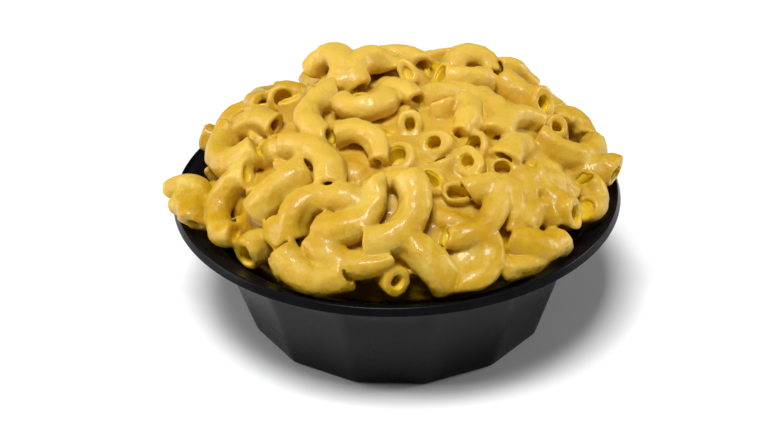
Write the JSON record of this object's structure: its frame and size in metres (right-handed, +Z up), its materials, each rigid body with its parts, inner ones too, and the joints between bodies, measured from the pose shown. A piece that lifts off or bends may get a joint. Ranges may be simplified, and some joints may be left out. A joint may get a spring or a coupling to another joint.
{
  "type": "mac and cheese in a bowl",
  "caption": "Heap of elbow macaroni in cheese sauce, served in its round black bowl with a wide sloping rim and faceted sides.",
  "frame": {"origin": "middle of the bowl's flat base, on the surface that it stands on", "axes": "+Z up, -Y towards the viewer's side, +X to the viewer's right"},
  "size_m": [0.1671, 0.1648, 0.0942],
  "materials": {
    "black_plastic": "satin moulded black plastic",
    "cheese_sauce": "smooth, wet, slightly translucent yellow sauce on soft pasta"
  },
  "bodies": {
    "root": {"bowl": "black_plastic", "macaroni": "cheese_sauce"}
  },
  "joints": []
}
